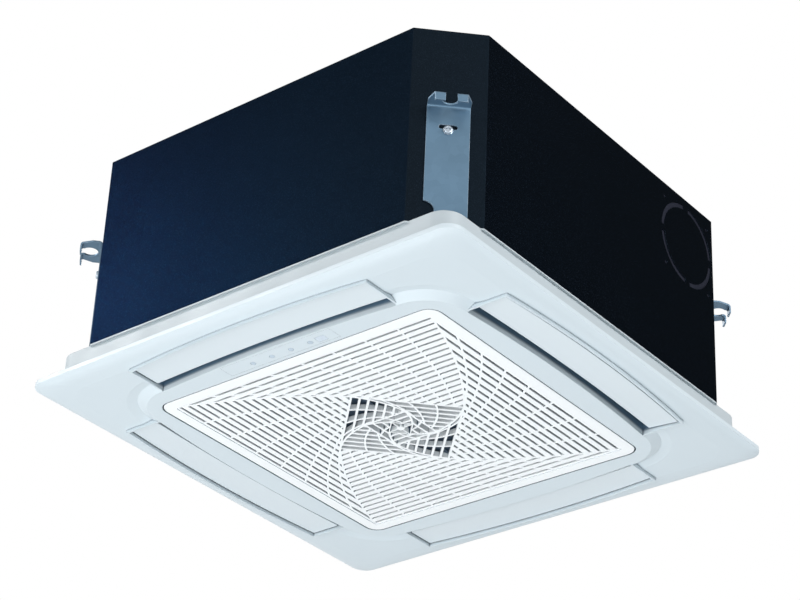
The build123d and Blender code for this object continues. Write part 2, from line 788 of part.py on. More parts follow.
# ---------------------------------------------------------------- drain pan and bell mouth
with BuildPart() as pan:
    with BuildSketch(Plane.XY.offset(z_base_top)):
        add(octagon(sheet_t + pan_fit))
        add(on_four_sides(outlet_outline(0)), mode=Mode.SUBTRACT)
        Circle(pan_open_r, mode=Mode.SUBTRACT)
        with PolarLocations(mouth_screw_ring, 4, start_angle=45):
            Circle(small_screw_r, mode=Mode.SUBTRACT)
    extrude(amount=pan_t)
    with BuildSketch(Plane.XY.offset(z_pan)):
        RectangleRounded(2 * pan_wall_half, 2 * pan_wall_half, pan_wall_r)
        inner = 2 * (pan_wall_half - pan_wall_t)
        RectangleRounded(inner, inner, pan_wall_r - pan_wall_t, mode=Mode.SUBTRACT)
        Circle(pan_ring_r)
        Circle(pan_ring_r - pan_ring_t, mode=Mode.SUBTRACT)
    extrude(amount=pan_wall_h)
    # blocks that carry the coil
    with BuildSketch(Plane.XY.offset(z_pan)):
        with PolarLocations(coil_half - coil_t / 2, 4):
            Rectangle(coil_t, seat_l)
    extrude(amount=z_coil - z_pan)
save(pan.part, "drain_pan")

z_mouth = z_base_top - mouth_flange_t
with BuildPart() as mouth:
    with BuildSketch(Plane.XZ):
        with BuildLine():
            throat = (mouth_r, z_mouth + mouth_curve_h)
            Line((mouth_r, z_mouth + mouth_h), throat)
            entry = TangentArc(throat, (mouth_entry_r, z_mouth), tangent=(0, -1))
            Line(entry @ 1, (mouth_flange_r, z_mouth))
            Line((mouth_flange_r, z_mouth), (mouth_flange_r, z_base_top))
            Line((mouth_flange_r, z_base_top), (mouth_entry_r + 2 * mouth_t, z_base_top))
            back = TangentArc((mouth_r + mouth_t, z_mouth + mouth_curve_h),
                              (mouth_entry_r + 2 * mouth_t, z_base_top), tangent=(0, -1))
            Line(back @ 0, (mouth_r + mouth_t, z_mouth + mouth_h))
            Line((mouth_r + mouth_t, z_mouth + mouth_h), (mouth_r, z_mouth + mouth_h))
        make_face()
    revolve(axis=Axis.Z)
    with BuildSketch(Plane.XY.offset(z_mouth)):
        with PolarLocations(mouth_screw_ring, 4, start_angle=45):
            Circle(small_screw_r)
    extrude(amount=mouth_flange_t, mode=Mode.SUBTRACT)
save(mouth.part, "bell_mouth")

with BuildPart() as mouth_screw:
    with BuildSketch(Plane.XY.offset(z_mouth)):
        with PolarLocations(mouth_screw_ring, 4, start_angle=45):
            Circle(small_head_r)
    extrude(amount=-small_head_h)
    with BuildSketch(Plane.XY.offset(z_mouth)):
        with PolarLocations(mouth_screw_ring, 4, start_angle=45):
            Circle(small_screw_r)
    extrude(amount=mouth_flange_t + pan_t - 2)
save(mouth_screw.part, "mouth_screws")

# ---------------------------------------------------------------- casing and its linings
half_case = case_w / 2
pipe_mid_z = (gas_z + liquid_z) / 2
with BuildPart() as case:
    with BuildSketch(Plane.XY.offset(z_base_top)):
        add(octagon(0))
        add(octagon(sheet_t), mode=Mode.SUBTRACT)
    extrude(amount=z_lid - z_base_top)
    with BuildSketch(Plane.XY.offset(z_lid)):
        add(octagon(0))
        add(octagon(flange_w), mode=Mode.SUBTRACT)
        with Locations(*lid_screws):
            Circle(small_screw_r, mode=Mode.SUBTRACT)
    extrude(amount=-sheet_t)
    with BuildSketch(Plane.XY.offset(z_lid)):
        with Locations(*lid_screws):
            Circle(small_screw_r)
    extrude(amount=-sheet_t, mode=Mode.SUBTRACT)
    # knock-out for a branch duct: four curved slots and four screw holes
    with BuildSketch(Plane.YZ.offset(half_case)):
        with Locations((duct_y, duct_z)):
            Circle(duct_r)
            Circle(duct_r - duct_slot, mode=Mode.SUBTRACT)
            Rectangle(2 * duct_r, duct_bridge, mode=Mode.SUBTRACT)
            Rectangle(duct_bridge, 2 * duct_r, mode=Mode.SUBTRACT)
            with PolarLocations(duct_hole_ring, 4, start_angle=45):
                Circle(duct_hole_r)
    extrude(amount=-sheet_t, mode=Mode.SUBTRACT)
    # opening for the pipes, with the holes of its cover, and the cable entry
    with BuildSketch(Plane.YZ.offset(-half_case)):
        with Locations((pipe_y, pipe_mid_z)):
            Rectangle(pipe_plate_w - 16, pipe_plate_l - 16)
            with GridLocations(pipe_plate_w - 8, pipe_plate_l - 8, 2, 2):
                Circle(small_screw_r)
        with Locations((cable_y, cable_z)):
            Circle(cable_hole_r)
    extrude(amount=sheet_t, mode=Mode.SUBTRACT)
    with BuildSketch(Plane.XZ.offset(-half_case)):
        with Locations((-pump_x, drain_z)):
            Circle(drain_neck_r)
    extrude(amount=sheet_t, mode=Mode.SUBTRACT)

with BuildPart() as bracket_hole:
    with BuildSketch(Plane.YZ.offset(chamfer_d - sheet_t)):
        with Locations((0, bracket_screw_z)):
            Circle(big_screw_r)
    extrude(amount=sheet_t + bracket_t)
case_body = case.part - turned(bracket_hole.part, 45)
save(case_body, "casing")

with BuildPart() as lid:
    with BuildSketch(Plane.XY.offset(z_lid)):
        add(octagon(0))
        with Locations(*lid_screws):
            Circle(small_screw_r, mode=Mode.SUBTRACT)
    extrude(amount=sheet_t)
    # pressed ribs
    with BuildSketch(Plane.XY.offset(z_case_top)):
        Circle(lid_ring_r)
        Circle(lid_ring_r - lid_rib_w, mode=Mode.SUBTRACT)
        with PolarLocations(lid_rib_ring_r, 8):
            SlotOverall(lid_rib_l, lid_rib_w)
    extrude(amount=lid_rib_h)
save(lid.part, "top_plate")

with BuildPart() as lid_screw:
    with BuildSketch(Plane.XY.offset(z_case_top)):
        with Locations(*lid_screws):
            Circle(small_head_r)
    extrude(amount=small_head_h)
    with BuildSketch(Plane.XY.offset(z_case_top)):
        with Locations(*lid_screws):
            Circle(small_screw_r)
    extrude(amount=-7)
save(lid_screw.part, "case_screws")

with BuildPart() as liner:
    with BuildSketch(Plane.XY.offset(z_pan)):
        add(octagon(sheet_t))
        add(octagon(sheet_t + liner_t), mode=Mode.SUBTRACT)
    extrude(amount=z_lid - sheet_t - z_pan)
    with BuildSketch(Plane.YZ.offset(-half_case)):
        with Locations((pipe_y, pipe_mid_z)):
            Rectangle(pipe_plate_w - 16, pipe_plate_l - 16)
            with GridLocations(pipe_plate_w - 8, pipe_plate_l - 8, 2, 2):
                Circle(small_screw_r + 1)
        with Locations((cable_y, cable_z)):
            Circle(cable_hole_r + 4)
    extrude(amount=sheet_t + liner_t, mode=Mode.SUBTRACT)
    with BuildSketch(Plane.XZ.offset(-half_case)):
        with Locations((-pump_x, drain_z)):
            Circle(drain_neck_r)
    extrude(amount=sheet_t + liner_t, mode=Mode.SUBTRACT)
with BuildPart() as liner_hole:
    with BuildSketch(Plane.YZ.offset(chamfer_d - sheet_t - liner_t - 1)):
        with Locations((0, bracket_screw_z)):
            Circle(big_screw_r + 3)
    extrude(amount=liner_t + 1)
save(liner.part - turned(liner_hole.part, 45), "side_liner")

with BuildPart() as top_liner:
    with BuildSketch(Plane.XY.offset(z_top_liner)):
        add(octagon(flange_w + 1))
        Circle(motor_flange_r + 6, mode=Mode.SUBTRACT)
    extrude(amount=top_liner_t)
save(top_liner.part, "top_liner")

# ---------------------------------------------------------------- hanging brackets
half_bracket = bracket_w / 2
tab_end = chamfer_d + bracket_reach
leg_mid = chamfer_d + bracket_t / 2
lip_mid = tab_end - bracket_t / 2
with BuildPart() as bracket:
    # folded strip: a leg up the cut corner, a tab out from it and a lip at the tab's end
    with BuildSketch(Plane.XZ):
        with BuildLine():
            fold = [(chamfer_d + bracket_fold_r + bracket_t / 2, 0),
                    (tab_end - bracket_lip_r - bracket_t / 2, 0)]
            Line((leg_mid, bracket_low), (leg_mid, -bracket_fold_r))
            TangentArc((leg_mid, -bracket_fold_r), fold[0], tangent=(0, 1))
            Line(*fold)
            TangentArc(fold[1], (lip_mid, -bracket_lip_r), tangent=(1, 0))
            Line((lip_mid, -bracket_lip_r), (lip_mid, -bracket_lip))
        trace(line_width=bracket_t)
    extrude(amount=half_bracket, both=True)
    # the tab narrows towards its end
    with BuildSketch(Plane.XY.offset(-bracket_lip)):
        Rectangle(2 * tab_end, 2 * bracket_w)
        with BuildLine():
            Polyline((0, -half_bracket), (tab_end - bracket_taper, -half_bracket),
                     (tab_end, -bracket_end_w / 2), (tab_end, bracket_end_w / 2),
                     (tab_end - bracket_taper, half_bracket), (0, half_bracket), close=True)
        make_face(mode=Mode.SUBTRACT)
    extrude(amount=bracket_lip + bracket_t, mode=Mode.SUBTRACT)
    # keyhole for the hanging rod, open to the free end
    with BuildSketch(Plane.XY.offset(-bracket_lip)):
        with Locations((hole_d, 0)):
            Circle(key_r)
            Rectangle(bracket_reach, key_neck, align=(Align.MIN, Align.CENTER))
    extrude(amount=bracket_lip + bracket_t, mode=Mode.SUBTRACT)
    # notch at the foot of the leg, and the screw hole under a wide slot
    with BuildSketch(Plane.YZ.offset(chamfer_d)):
        with Locations((-half_bracket, notch_z)):
            Circle(notch_r)
            Rectangle(2 * notch_r, notch_z - bracket_low, align=(Align.CENTER, Align.MAX))
        with Locations((0, bracket_screw_z)):
            Circle(big_screw_r)
        with Locations((0, bracket_screw_z + bracket_slot_rise)):
            SlotOverall(bracket_slot_l, bracket_slot_w)
    extrude(amount=bracket_t, mode=Mode.SUBTRACT)
save(around(bracket.part, 45), "hanger_brackets")

head_low = chamfer_d + bracket_t + hanger_washer_t
with BuildPart() as hanger_screw:
    with BuildSketch(Plane.YZ.offset(head_low)):
        with Locations((0, bracket_screw_z)):
            Circle(hanger_head_r)
    extrude(amount=hanger_head_h)
    fillet(hanger_screw.faces().sort_by(Axis.X)[-1].edges(), 1.4)
    with BuildSketch(Plane.YZ.offset(head_low - hanger_washer_t)):
        with Locations((0, bracket_screw_z)):
            Circle(hanger_washer_r)
    extrude(amount=hanger_washer_t)
    with BuildSketch(Plane.YZ.offset(head_low + hanger_head_h)):
        with Locations((0, bracket_screw_z)):
            Rectangle(cross_l, cross_w)
            Rectangle(cross_w, cross_l)
    extrude(amount=-cross_depth, mode=Mode.SUBTRACT)
    with BuildSketch(Plane.YZ.offset(chamfer_d + bracket_t)):
        with Locations((0, bracket_screw_z)):
            Circle(big_screw_r)
    extrude(amount=-bracket_t - sheet_t - 8)
save(around(hanger_screw.part, 45), "hanger_screws")

# ---------------------------------------------------------------- coil
coil_h = z_top_liner - z_coil
with BuildPart() as coil:
    with BuildSketch(Plane.XY.offset(z_coil)):
        RectangleRounded(2 * coil_half, 2 * coil_half, coil_corner_r)
        RectangleRounded(2 * (coil_half - coil_t), 2 * (coil_half - coil_t), coil_corner_r - coil_t,
                         mode=Mode.SUBTRACT)
        with Locations((-coil_half, coil_half)):
            Rectangle(2 * (coil_half - coil_end), 2 * (coil_half - coil_end), mode=Mode.SUBTRACT)
    extrude(amount=coil_h)
save(coil.part, "coil_fins")

with BuildPart() as end_plate:
    with BuildSketch(Plane.YZ.offset(-coil_end)):
        with Locations((coil_half - coil_t / 2, z_coil)):
            Rectangle(coil_t + plate_t, coil_h - pan_fit, align=(Align.CENTER, Align.MIN))
    extrude(amount=-plate_t)
corner_plane = Plane(origin=(0, 0, 0), z_dir=(1, 1, 0))
save(Compound(children=[end_plate.part, end_plate.part.mirror(corner_plane)]), "coil_end_plates")

with BuildPart() as bend:
    with BuildSketch(Plane.YZ.offset(-coil_end - plate_t)):
        with Locations((coil_half - coil_t / 2, z_coil + bend_pitch / 2 + bend_pitch / 4)):
            Circle(tube_r)
    revolve(axis=Axis((-coil_end - plate_t, 0, z_coil + bend_pitch / 2), (0, -1, 0)), revolution_arc=180)
bends = [bend.part.moved(Location((0, 0, bend_pitch * i))) for i in range(bend_count)]
bends += [one.mirror(corner_plane) for one in bends]
save(Compound(children=bends), "coil_bends")

plate_x = -coil_end - plate_t
header_x = -coil_half + coil_t / 2 - 7.5
pipe_end = -half_case - pipe_reach
for name, pipe_r, header_r, header_low, header_high, level, stubs in [
    ("gas", gas_r, 7.0, -52.0, 85.0, gas_z, (-42.0, 0.0, 42.0, 74.0)),
    ("liquid", liquid_r, 4.5, -100.0, -60.0, liquid_z, (-92.0, -68.0)),
]:
    with BuildPart() as pipe:
        with BuildSketch(Plane.XY.offset(header_low)):
            with Locations((header_x, pipe_y)):
                Circle(header_r)
        extrude(amount=header_high - header_low)
        with BuildSketch(Plane.YZ.offset(header_x)):
            with Locations((pipe_y, level)):
                Circle(pipe_r)
        extrude(amount=pipe_end - header_x)
        with BuildSketch(Plane.XZ.offset(-pipe_y)):
            with Locations(*[(header_x, z) for z in stubs]):
                Circle(3.0)
        extrude(amount=pipe_y + plate_x)
        with BuildSketch(Plane.YZ.offset(pipe_end)):
            with Locations((pipe_y, level)):
                Circle(pipe_r - pipe_wall)
        extrude(amount=pipe_reach, mode=Mode.SUBTRACT)
    save(pipe.part, f"{name}_pipe")

for name, bore_r, thread_r, level in [("gas", gas_r, gas_union_r, gas_z),
                                      ("liquid", liquid_r, liquid_union_r, liquid_z)]:
    with BuildPart() as union:
        with BuildSketch(Plane.YZ.offset(pipe_end + nut_l)):
            with Locations((pipe_y, level)):
                RegularPolygon(thread_r + 1.5, 6, major_radius=False)
                Circle(bore_r, mode=Mode.SUBTRACT)
        extrude(amount=-nut_l)
        with BuildSketch(Plane.YZ.offset(pipe_end)):
            with Locations((pipe_y, level)):
                Circle(thread_r)
                Circle(bore_r - pipe_wall, mode=Mode.SUBTRACT)
        extrude(amount=-union_l)
        chamfer(union.faces().sort_by(Axis.X)[0].outer_wire().edges(), 1.0)
    save(union.part, f"{name}_union")

with BuildPart() as pipe_plate:
    with BuildSketch(Plane.YZ.offset(-half_case)):
        with Locations((pipe_y, pipe_mid_z)):
            RectangleRounded(pipe_plate_w, pipe_plate_l, 4)
            with GridLocations(pipe_plate_w - 8, pipe_plate_l - 8, 2, 2):
                Circle(small_screw_r, mode=Mode.SUBTRACT)
        with Locations((pipe_y, gas_z)):
            Circle(gas_r + trim_fit, mode=Mode.SUBTRACT)
        with Locations((pipe_y, liquid_z)):
            Circle(liquid_r + trim_fit, mode=Mode.SUBTRACT)
    extrude(amount=-sheet_t)
save(pipe_plate.part, "pipe_plate")

with BuildPart() as plate_screw:
    for radius, depth in [(small_head_r, -small_head_h), (small_screw_r, 8)]:
        with BuildSketch(Plane.YZ.offset(-half_case - sheet_t)):
            with Locations((pipe_y, pipe_mid_z)):
                with GridLocations(pipe_plate_w - 8, pipe_plate_l - 8, 2, 2):
                    Circle(radius)
        extrude(amount=depth)
save(plate_screw.part, "pipe_plate_screws")

with BuildPart() as grommet:
    for start, depth, radius in [(-half_case, -2.0, cable_hole_r + 3), (-half_case, sheet_t, cable_hole_r),
                                 (-half_case + sheet_t, 2.0, cable_hole_r + 2)]:
        with BuildSketch(Plane.YZ.offset(start)):
            with Locations((cable_y, cable_z)):
                Circle(radius)
                Circle(cable_bore_r, mode=Mode.SUBTRACT)
        extrude(amount=depth)
save(grommet.part, "cable_grommet")

# ---------------------------------------------------------------- fan
with BuildPart() as fan:
    with BuildSketch(Plane.XZ):
        with BuildLine():
            Polyline((hub_bore_r, hub_low), (70, hub_low), (92, fan_high), (fan_r, fan_high),
                     (fan_r, fan_high + fan_t), (90.4, fan_high + fan_t), (68.4, hub_low + fan_t),
                     (hub_bore_r, hub_low + fan_t), close=True)
        make_face()
        with BuildLine():
            Polyline((fan_lip_r, fan_low - 24), (fan_lip_r + 3, fan_low - 24), (fan_lip_r + 3, fan_low - 2),
                     (fan_r, fan_low + 1), (fan_r, fan_low + 4), (fan_lip_r, fan_low + 1.5), close=True)
        make_face()
    revolve(axis=Axis.Z)
    with BuildSketch(Plane.XY.offset(fan_low + 2.5)):
        with BuildLine():
            tip = Vector(fan_r - 2, 0).rotate(Axis.Z, -blade_sweep)
            middle = Vector((fan_r + blade_in_r) / 2, 0).rotate(Axis.Z, -blade_sweep * 0.42)
            ThreePointArc((blade_in_r, 0), middle, tip)
        blade = trace(line_width=blade_t)
        add([blade.rotate(Axis.Z, 360 / blade_count * i) for i in range(1, blade_count)])
    extrude(amount=fan_high - fan_low - 1.5)
save(fan.part, "turbo_fan")

with BuildPart() as fan_boss:
    for start, depth, radius in [(hub_low - 5, 5, 20.0), (hub_low, 7, hub_bore_r)]:
        with BuildSketch(Plane.XY.offset(start)):
            Circle(radius)
            Circle(motor_shaft_r, mode=Mode.SUBTRACT)
        extrude(amount=depth)
save(fan_boss.part, "fan_boss")

with BuildPart() as fan_shaft:
    with BuildSketch(Plane.XY.offset(hub_low - 15)):
        Circle(motor_shaft_r)
    extrude(amount=motor_low + 28 - hub_low + 15)
save(fan_shaft.part, "fan_shaft")

with BuildPart() as fan_nut:
    with BuildSketch(Plane.XY.offset(hub_low - 12)):
        RegularPolygon(7.5, 6, major_radius=False)
        Circle(motor_shaft_r, mode=Mode.SUBTRACT)
    extrude(amount=7)
save(fan_nut.part, "fan_nut")

z_motor_top = motor_low + motor_h
with BuildPart() as motor:
    with BuildSketch(Plane.XY.offset(motor_low)):
        Circle(motor_r)
    extrude(amount=motor_h)
    fillet(motor.faces().sort_by(Axis.Z)[0].edges(), 6)
    with BuildSketch(Plane.XY.offset(z_motor_top)):
        Circle(motor_flange_r)
    extrude(amount=motor_flange_t)
    with BuildSketch(Plane.XY.offset(motor_low)):
        Circle(motor_collar_r)
    extrude(amount=-motor_collar_h)
    with BuildSketch(Plane.XY.offset(motor_low - motor_collar_h)):
        Circle(motor_shaft_r + run_fit)
    extrude(amount=motor_bore_l, mode=Mode.SUBTRACT)
    with BuildSketch(Plane.XY.offset(z_motor_top)):
        with PolarLocations(stud_ring_r, 4, start_angle=45):
            Circle(stud_r)
    extrude(amount=motor_flange_t, mode=Mode.SUBTRACT)
save(motor.part, "fan_motor")

with BuildPart() as bush:
    with BuildSketch(Plane.XY.offset(z_motor_top + motor_flange_t)):
        with PolarLocations(stud_ring_r, 4, start_angle=45):
            Circle(bush_r)
            Circle(stud_r, mode=Mode.SUBTRACT)
    extrude(amount=z_lid - z_motor_top - motor_flange_t)
save(bush.part, "motor_bushes")

with BuildPart() as stud:
    with BuildSketch(Plane.XY.offset(z_motor_top - stud_thread_l)):
        with PolarLocations(stud_ring_r, 4, start_angle=45):
            Circle(stud_r)
    extrude(amount=z_lid - z_motor_top + stud_thread_l)
    with BuildSketch(Plane.XY.offset(z_motor_top)):
        with PolarLocations(stud_ring_r, 4, start_angle=45):
            RegularPolygon(5, 6, major_radius=False)
    extrude(amount=-5)
save(stud.part, "motor_studs")

# ---------------------------------------------------------------- drain pump, drain and float switch
with BuildPart() as pump:
    with Locations((-pump_x, pump_y, 0)):
        Cylinder(pump_r, -pump_low - 40, align=(Align.CENTER, Align.CENTER, Align.MAX))
    with Locations((-pump_x, pump_y, pump_low)):
        Cylinder(pump_r - 4, 42, align=(Align.CENTER, Align.CENTER, Align.MIN))
        Cylinder(pump_inlet_r, 36, align=(Align.CENTER, Align.CENTER, Align.MAX))
save(pump.part, "drain_pump")

with BuildPart() as hose:
    with BuildSketch(Plane.XZ.offset(-pump_y - pump_r + 1)):
        with Locations((-pump_x, drain_z)):
            Circle(hose_r)
    extrude(amount=-(half_case - drain_inner_l - pump_y - pump_r + 1))
hose_body = hose.part - pump.part
save(hose_body, "drain_hose")

with BuildPart() as spigot:
    with BuildSketch(Plane.XZ.offset(-half_case + drain_inner_l)):
        with Locations((-pump_x, drain_z)):
            Circle(drain_neck_r)
    extrude(amount=-drain_inner_l)
    with BuildSketch(Plane.XZ.offset(-half_case)):
        with Locations((-pump_x, drain_z)):
            Circle(drain_r)
    extrude(amount=-drain_reach)
    with BuildSketch(Plane.XZ.offset(-half_case - drain_reach)):
        with Locations((-pump_x, drain_z)):
            Circle(drain_bore_r)
    extrude(amount=15 + drain_reach, mode=Mode.SUBTRACT)
save(spigot.part, "drain_spigot")

with BuildPart() as pump_bracket:
    with BuildSketch(Plane.XY):
        with BuildLine():
            Polyline((-222, 181), (-164, 181), (-164, wall_y), (-204, wall_y), (-204, 236),
                     (-222, 236), close=True)
        make_face()
    extrude(amount=1.5)
    with BuildSketch(Plane.XZ.offset(-wall_y)):
        with Locations((-184, 0)):
            Rectangle(40, 15, align=(Align.CENTER, Align.MIN))
    extrude(amount=1.5)
save(pump_bracket.part, "pump_bracket")

with BuildPart() as float_switch:
    with Locations((-float_x, float_x, 0)):
        Cylinder(float_stem_r, 142, align=(Align.CENTER, Align.CENTER, Align.MAX))
    with Locations((-float_x, float_x, float_low - 0.3)):
        Cylinder(6, 2, align=(Align.CENTER, Align.CENTER, Align.MAX))
    with Locations((-float_x, float_x, float_low + float_h + float_travel + 1)):
        Cylinder(5, 5, align=(Align.CENTER, Align.CENTER, Align.MIN))
save(float_switch.part, "float_switch")

with BuildPart() as float_ring:
    with Locations((-float_x, float_x, float_low)):
        Cylinder(float_r, float_h, align=(Align.CENTER, Align.CENTER, Align.MIN))
        Cylinder(float_stem_r + 0.3, float_h, align=(Align.CENTER, Align.CENTER, Align.MIN),
                 mode=Mode.SUBTRACT)
save(float_ring.part, "float_ring")

# ---------------------------------------------------------------- control box
box_x = -base_open / 2 + box_w / 2 + wall_clear
z_box = z_mouth - box_h
with BuildPart() as box:
    with BuildSketch(Plane.XY.offset(z_box)):
        with Locations((box_x, 0)):
            Rectangle(box_w, box_l)
    extrude(amount=box_h)
    with BuildSketch(Plane.XY.offset(z_box)):
        with Locations((box_x, 0)):
            Rectangle(box_w - 2 * box_wall, box_l - 2 * box_wall)
    extrude(amount=box_h - box_wall, mode=Mode.SUBTRACT)
    with BuildSketch(Plane.XY.offset(z_mouth - box_wall)):
        with Locations((box_x, 0)):
            with GridLocations(box_w - 14, box_l - 90, 2, 2):
                Circle(2.5)
    extrude(amount=-8)
save(box.part, "control_box")

with BuildPart() as box_cover:
    with BuildSketch(Plane.XY.offset(z_box)):
        with Locations((box_x, 0)):
            Rectangle(box_w, box_l)
    extrude(amount=-box_wall)
save(box_cover.part, "control_cover")

with BuildPart() as control_board:
    with BuildSketch(Plane.XY.offset(z_mouth - box_wall - 8)):
        with Locations((box_x, 0)):
            Rectangle(box_w - 6, box_l - 70)
    extrude(amount=-board_t)
    with BuildSketch(Plane.XY.offset(z_mouth - box_wall - 8 - board_t)):
        with Locations((box_x - 8, -40), (box_x + 6, -15), (box_x - 6, 18)):
            Rectangle(14, 16)
        with Locations((box_x + 8, 42), (box_x - 10, 50)):
            Circle(5)
    extrude(amount=-10)
save(control_board.part, "control_board")

with BuildPart() as terminals:
    with BuildSketch(Plane.XY.offset(z_mouth - box_wall)):
        with Locations((box_x, -box_l / 2 + 18)):
            Rectangle(34, 20)
    extrude(amount=-14)
save(terminals.part, "terminal_block")
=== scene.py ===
import math

import bpy
from mathutils import Matrix, Vector

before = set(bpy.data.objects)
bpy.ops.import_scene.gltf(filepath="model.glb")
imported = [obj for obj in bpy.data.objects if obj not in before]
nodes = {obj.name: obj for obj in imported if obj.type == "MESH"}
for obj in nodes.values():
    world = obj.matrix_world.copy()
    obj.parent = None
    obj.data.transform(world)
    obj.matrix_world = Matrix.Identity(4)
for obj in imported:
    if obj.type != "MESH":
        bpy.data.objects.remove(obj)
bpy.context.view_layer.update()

# ---------------------------------------------------------------- sizes in metres, and settings
outlet_half = 0.2895  # the outlets' outer walls lie within this of the middle, along X and Y
slit_wall_half = 0.2550  # the outlets' inner walls, seen through the vanes' slits, lie within this
vane_level = -0.1985
wall_shade_level = -0.1935  # the outlets' walls have their full painted shade from here up
net_pitch = 0.0014
wear_radius = 0.0012
wear_scale = 140.0  # of the noise that breaks up the wear
gloss_scale = 23.0  # of the noise that varies the roughness
smooth_angle = math.radians(28)
bevel_samples = 4
gap_samples = 6
noise_span = (0.3, 0.7)  # nearly all of a noise's values lie in it


# ---------------------------------------------------------------- node helpers
def link(tree, source, target):
    tree.links.new(source, target)


def maths(tree, operation, first, second=None):
    """Math node on a socket, with a second socket or number where the operation takes one."""
    node = tree.nodes.new("ShaderNodeMath")
    node.operation = operation
    link(tree, first, node.inputs[0])
    if isinstance(second, float):
        node.inputs[1].default_value = second
    elif second is not None:
        link(tree, second, node.inputs[1])
    return node.outputs[0]


def place_in_part(tree):
    """Object coordinates, which are metres in the part's own frame."""
    return tree.nodes.new("ShaderNodeTexCoord").outputs["Object"]


def split_axes(tree, vector):
    node = tree.nodes.new("ShaderNodeSeparateXYZ")
    link(tree, vector, node.inputs[0])
    return node.outputs


def noise(tree, scale, detail=3.0, stretch=None):
    node = tree.nodes.new("ShaderNodeTexNoise")
    node.inputs["Scale"].default_value = scale
    node.inputs["Detail"].default_value = detail
    source = place_in_part(tree)
    if stretch:
        mapping = tree.nodes.new("ShaderNodeMapping")
        mapping.inputs["Scale"].default_value = stretch
        link(tree, source, mapping.inputs["Vector"])
        source = mapping.outputs["Vector"]
    link(tree, source, node.inputs["Vector"])
    return node.outputs["Fac"]


def remap(tree, value, old, new):
    """Carry the range old over to the range new, held at its ends."""
    node = tree.nodes.new("ShaderNodeMapRange")
    for socket, number in zip(("From Min", "From Max", "To Min", "To Max"), (*old, *new)):
        node.inputs[socket].default_value = number
    link(tree, value, node.inputs["Value"])
    return node.outputs["Result"]


def blend_colours(tree, factor, first, second):
    """Mix two colours, each a tuple or a socket."""
    node = tree.nodes.new("ShaderNodeMix")
    node.data_type = "RGBA"
    link(tree, factor, node.inputs[0])
    for value, socket in ((first, node.inputs[6]), (second, node.inputs[7])):
        if isinstance(value, tuple):
            socket.default_value = (*value, 1.0)
        else:
            link(tree, value, socket)
    return node.outputs[2]


def seen_directly(tree):
    """1 for rays from the camera and for those that gloss or glass sends on, else 0."""
    path = tree.nodes.new("ShaderNodeLightPath")
    seen = path.outputs["Is Camera Ray"]
    for kind in ("Is Glossy Ray", "Is Transmission Ray"):
        seen = maths(tree, "MAXIMUM", seen, path.outputs[kind])
    return seen


# ---------------------------------------------------------------- layers of a finish, and painted shade in gaps
def add_mottle(tree, base, amount, scale):
    """Slow drift between a darker and a lighter tone of the base colour."""
    darker = tuple(c * (1 - amount) for c in base)
    lighter = tuple(min(1.0, c * (1 + amount)) for c in base)
    drift = remap(tree, noise(tree, scale, 4.0), noise_span, (0.0, 1.0))
    return blend_colours(tree, drift, darker, lighter)


def add_cells(tree, colour, base, scale, amount):
    """Lighter patches with straight borders, as in zinc crystals or bead foam."""
    voronoi = tree.nodes.new("ShaderNodeTexVoronoi")
    voronoi.inputs["Scale"].default_value = scale
    link(tree, place_in_part(tree), voronoi.inputs["Vector"])
    grey = tree.nodes.new("ShaderNodeRGBToBW")
    link(tree, voronoi.outputs["Color"], grey.inputs["Color"])
    factor = remap(tree, grey.outputs["Val"], (0.2, 0.8), (0.0, amount))
    lighter = tuple(min(1.0, c * 1.5 + 0.03) for c in base)
    return blend_colours(tree, factor, colour, lighter)


def add_specks(tree, colour, base, scale, amount, speck_colour):
    """Fine specks of another colour, with larger and fainter dark ones between them."""
    bright_span, dark_span = (0.56, 0.72), (0.44, 0.30)  # where the noise is a peak or a hollow
    dark_scale, dark_amount, dark_tone = 0.61 * scale, 0.7 * amount, 0.35
    bright = remap(tree, noise(tree, scale, 2.0), bright_span, (0.0, amount))
    colour = blend_colours(tree, bright, colour, speck_colour)
    dark = remap(tree, noise(tree, dark_scale, 2.0), dark_span, (0.0, dark_amount))
    return blend_colours(tree, dark, colour, tuple(c * dark_tone for c in base))


def add_wear(tree, colour, amount, worn_colour):
    """Broken wear along edges, where the rounded normal leaves the flat one."""
    rounded = tree.nodes.new("ShaderNodeBevel")
    rounded.samples = bevel_samples
    rounded.inputs["Radius"].default_value = wear_radius
    geometry = tree.nodes.new("ShaderNodeNewGeometry")
    agree = tree.nodes.new("ShaderNodeVectorMath")
    agree.operation = "DOT_PRODUCT"
    link(tree, rounded.outputs["Normal"], agree.inputs[0])
    link(tree, geometry.outputs["Normal"], agree.inputs[1])
    edge_span = (0.80, 0.97)  # from a sharp edge to a flat face
    edge = remap(tree, agree.outputs["Value"], edge_span, (amount, 0.0))
    patches = remap(tree, noise(tree, wear_scale), (0.4, 0.6), (0.3, 1.0))
    return blend_colours(tree, maths(tree, "MULTIPLY", edge, patches), colour, worn_colour)


def add_gap_shade(tree, colour, reach, shade_colour):
    """Painted shade: a dark tone in narrow gaps, where near walls close off most of the surroundings."""
    openness = tree.nodes.new("ShaderNodeAmbientOcclusion")
    openness.samples = gap_samples
    openness.inputs["Distance"].default_value = reach
    open_span = (0.28, 0.70)  # from the depth of a gap to its mouth
    closed = remap(tree, openness.outputs["AO"], open_span, (1.0, 0.0))
    return blend_colours(tree, closed, colour, shade_colour)


